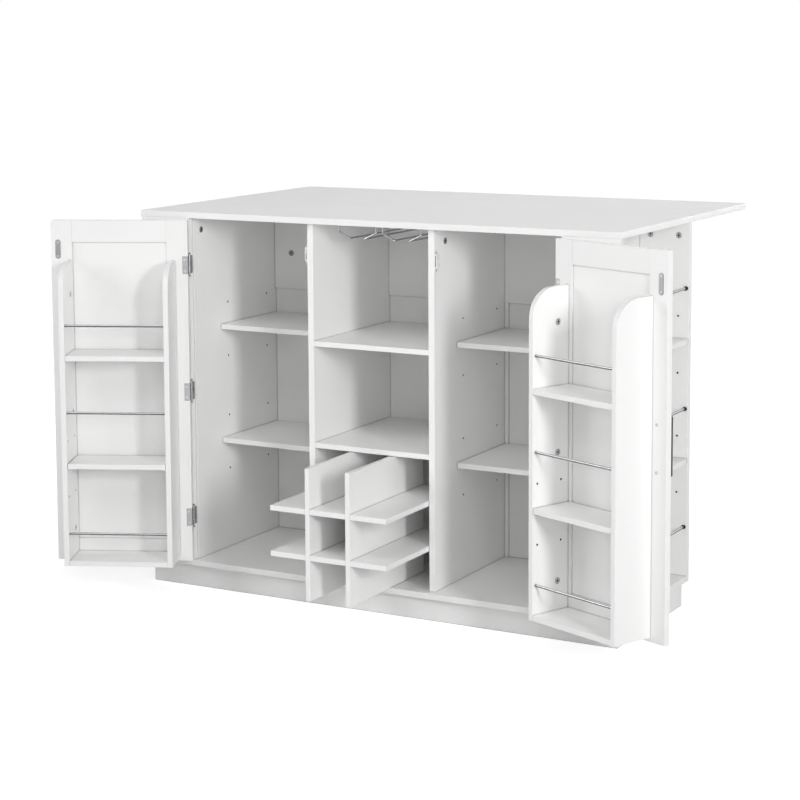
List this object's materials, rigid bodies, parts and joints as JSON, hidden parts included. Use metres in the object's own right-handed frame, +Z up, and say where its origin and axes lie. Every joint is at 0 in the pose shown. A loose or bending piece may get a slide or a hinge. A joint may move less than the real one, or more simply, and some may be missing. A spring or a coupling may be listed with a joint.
{
  "type": "drop leaf kitchen island",
  "caption": "White kitchen island with a raised drop leaf, two open rack doors, open end racks, shelves, wire glass hangers and a slide-out bottle rack.",
  "frame": {"origin": "on the floor under the middle of the cabinet, on the underside of the plinth's middle cross board", "axes": "+X to the right seen from the front, +Y to the back where the leaf is, +Z up; the doors and the bottle rack are open"},
  "size_m": [1.5812, 1.0234, 0.92],
  "materials": {
    "white_board": "white satin laminate on board",
    "worktop": "white satin laminate on board",
    "chrome": "polished",
    "steel": "nickel plated, satin",
    "black_metal": "black lacquer, satin",
    "white_plastic": "moulded, matt"
  },
  "bodies": {
    "cabinet": {"top_panel": "worktop", "bottom_panel": "white_board", "plinth_long_boards": "white_board", "plinth_cross_boards": "white_board", "left_partition": "white_board", "right_partition": "white_board", "left_divider": "white_board", "right_divider": "white_board", "left_front_panel": "white_board", "right_front_panel": "white_board", "left_rear_panel": "white_board", "right_rear_panel": "white_board", "upper_back_rail": "white_board", "back_panel": "white_board", "back_batten": "white_board", "left_bay_shelves": "white_board", "centre_bay_shelves": "white_board", "right_bay_shelves": "white_board", "left_rack_shelves": "white_board", "right_rack_shelves": "white_board", "left_rack_rails": "chrome", "right_rack_rails": "chrome", "shelf_pins": "steel", "cam_locks": "steel", "rack_cam_locks": "steel", "door_catches": "white_plastic", "frame_hinge_leaves": "steel", "door_hinge_pins": "steel", "left_glass_hanger": "chrome", "right_glass_hanger": "chrome", "top_hinge_plates": "steel", "leaf_hinge_pins": "steel", "bracket_plates": "steel"},
    "left_door": {"left_door_panel": "white_board", "left_door_stiles": "white_board", "left_door_rails": "white_board", "left_door_rack_sides": "white_board", "left_door_rack_shelves": "white_board", "left_door_rack_rails": "chrome", "left_door_fittings": "steel", "left_door_handle": "black_metal", "left_strike_plate": "steel", "left_door_hinge_leaves": "steel"},
    "right_door": {"right_door_panel": "white_board", "right_door_stiles": "white_board", "right_door_rails": "white_board", "right_door_rack_sides": "white_board", "right_door_rack_shelves": "white_board", "right_door_rack_rails": "chrome", "right_door_fittings": "steel", "right_door_handle": "black_metal", "right_strike_plate": "steel", "right_door_hinge_leaves": "steel"},
    "bottle_rack": {"bottle_rack_uprights": "white_board", "bottle_rack_shelves": "white_board"},
    "leaf": {"leaf_panel": "worktop", "leaf_hinge_plates": "steel", "bracket_arms": "steel"},
    "braces": {"leaf_braces": "steel"}
  },
  "joints": [
    {"name": "left_door_hinge", "type": "hinge", "parent": "cabinet", "child": "left_door", "pos_m": [-0.48555, -0.2165, 0.487], "axis": [0, 0, 1], "range_deg": [-10, 155.5]},
    {"name": "right_door_hinge", "type": "hinge", "parent": "cabinet", "child": "right_door", "pos_m": [0.48555, -0.2165, 0.487], "axis": [0, 0, 1], "range_deg": [-158, 10]},
    {"name": "bottle_rack_slide", "type": "slide", "parent": "cabinet", "child": "bottle_rack", "axis": [0, 1, 0], "range_m": [-0.04, 0.202]},
    {"name": "leaf_fold", "type": "hinge", "parent": "cabinet", "child": "leaf", "pos_m": [0, 0.216, 0.9018], "axis": [-1, 0, 0], "range_deg": [0, 90]},
    {"name": "brace_fold", "type": "hinge", "parent": "cabinet", "child": "braces", "pos_m": [0, 0.191, 0.7752], "axis": [-1, 0, 0], "range_deg": [0, 125.32]}
  ],
  "couplings": [
    {"joint": "brace_fold", "follows": "leaf_fold", "ratio": 1.3913}
  ]
}
